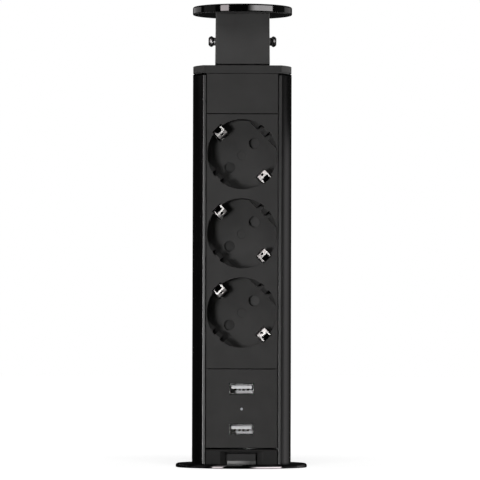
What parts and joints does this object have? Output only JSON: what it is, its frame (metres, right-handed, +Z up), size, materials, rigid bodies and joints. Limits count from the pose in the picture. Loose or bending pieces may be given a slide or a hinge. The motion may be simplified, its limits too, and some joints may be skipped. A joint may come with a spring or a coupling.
{
  "type": "pull-up desk socket tower",
  "caption": "Pull-up desk power strip: a D-shaped column with earthed round sockets and USB-A ports that slides up through a round flange clamped in a worktop hole.",
  "frame": {"origin": "centre of the flange's underside, in the plane of the worktop", "axes": "+Z up along the tower, the way it pulls out; the flat socket front faces -Y; +X is to the right as seen from the front"},
  "size_m": [0.074, 0.074, 0.316],
  "materials": {
    "satin_black_plastic": "satin, finely textured",
    "catch_plastic": "satin",
    "gloss_black_plastic": "polished black",
    "black_anodised": "satin black anodised",
    "dark_screw_metal": "black, smooth",
    "washer_metal": "dark",
    "clip_steel": "bright sheet",
    "shutter_plastic": "satin",
    "spring_steel": "bright",
    "inner_plastic": "moulded",
    "contact_brass": "bright",
    "screw_steel": "zinc plated",
    "port_steel": "dark nickel",
    "white_insulator": "smooth white",
    "light_pipe": "milky clear",
    "board_green": "coated",
    "transformer_steel": "varnished",
    "capacitor_can": "sleeved",
    "gland_plastic": "moulded",
    "seal_rubber": "matt",
    "zinc_steel": "zinc plated"
  },
  "bodies": {
    "base_mount": {"mounting_flange": "gloss_black_plastic", "flange_gasket": "seal_rubber"},
    "tower": {"lid_disc": "gloss_black_plastic", "lid_screws": "screw_steel", "lid_neck": "satin_black_plastic", "neck_screws": "dark_screw_metal", "neck_washers": "washer_metal", "top_cap": "satin_black_plastic", "cap_screws": "screw_steel", "tower_profile": "black_anodised", "blank_panel": "satin_black_plastic", "socket_strip": "satin_black_plastic", "socket_cup_1": "satin_black_plastic", "socket_cup_2": "satin_black_plastic", "socket_cup_3": "satin_black_plastic", "earth_bridge_1": "clip_steel", "earth_bridge_2": "clip_steel", "earth_bridge_3": "clip_steel", "shutter_springs": "spring_steel", "contact_carrier": "inner_plastic", "carrier_screws": "screw_steel", "live_rail": "contact_brass", "neutral_rail": "contact_brass", "earth_bar": "clip_steel", "contact_cover": "inner_plastic", "usb_panel": "satin_black_plastic", "usb_shell_upper": "port_steel", "usb_shell_lower": "port_steel", "usb_tongue_upper": "white_insulator", "usb_tongue_lower": "white_insulator", "status_light": "light_pipe", "usb_circuit_board": "board_green", "usb_transformer": "transformer_steel", "usb_capacitors": "capacitor_can", "usb_board_screws": "screw_steel", "base_block": "satin_black_plastic", "catch_spring": "spring_steel", "tower_foot": "inner_plastic", "foot_screws": "screw_steel", "bottom_cap": "inner_plastic", "bottom_cap_screws": "screw_steel", "terminal_block": "inner_plastic", "terminal_screws": "contact_brass", "cable_gland": "gland_plastic", "gland_locknut": "gland_plastic", "gland_seal": "seal_rubber", "gland_nut": "gland_plastic"},
    "catch": {"catch_button": "catch_plastic"},
    "shutter_body_1": {"shutter_1": "shutter_plastic"},
    "shutter_body_2": {"shutter_2": "shutter_plastic"},
    "shutter_body_3": {"shutter_3": "shutter_plastic"},
    "clamp_ring": {"clamp_washer": "zinc_steel"},
    "ring_nut": {"clamp_nut": "gland_plastic"}
  },
  "joints": [
    {"name": "tower_lift", "type": "slide", "parent": "base_mount", "child": "tower", "axis": [0, 0, 1], "range_m": [-0.25, 0]},
    {"name": "catch_press", "type": "slide", "parent": "tower", "child": "catch", "axis": [0, 1, 0], "range_m": [0, 0.0035], "stiffness_N_per_m": 400, "springref_m": -0.0015, "deforming": ["catch_spring"]},
    {"name": "shutter_turn_1", "type": "hinge", "parent": "tower", "child": "shutter_body_1", "pos_m": [0, 0.00402, 0.1709], "axis": [0, -1, 0], "range_deg": [0, 42], "stiffness_Nm_per_rad": 0.004, "springref_deg": -11.46},
    {"name": "shutter_turn_2", "type": "hinge", "parent": "tower", "child": "shutter_body_2", "pos_m": [0, 0.00402, 0.1277], "axis": [0, -1, 0], "range_deg": [0, 42], "stiffness_Nm_per_rad": 0.004, "springref_deg": -11.46},
    {"name": "shutter_turn_3", "type": "hinge", "parent": "tower", "child": "shutter_body_3", "pos_m": [0, 0.00402, 0.0845], "axis": [0, -1, 0], "range_deg": [0, 42], "stiffness_Nm_per_rad": 0.004, "springref_deg": -11.46},
    {"name": "clamp_travel", "type": "slide", "parent": "base_mount", "child": "clamp_ring", "axis": [0, 0, 1], "range_m": [-0.01, 0.03]},
    {"name": "nut_turn", "type": "hinge", "parent": "clamp_ring", "child": "ring_nut", "pos_m": [0, 0, -0.0455], "axis": [0, 0, 1], "range_deg": [-900, 2700]}
  ],
  "couplings": [
    {"joint": "nut_turn", "follows": "clamp_travel", "rad_per_m": 1570.8}
  ]
}
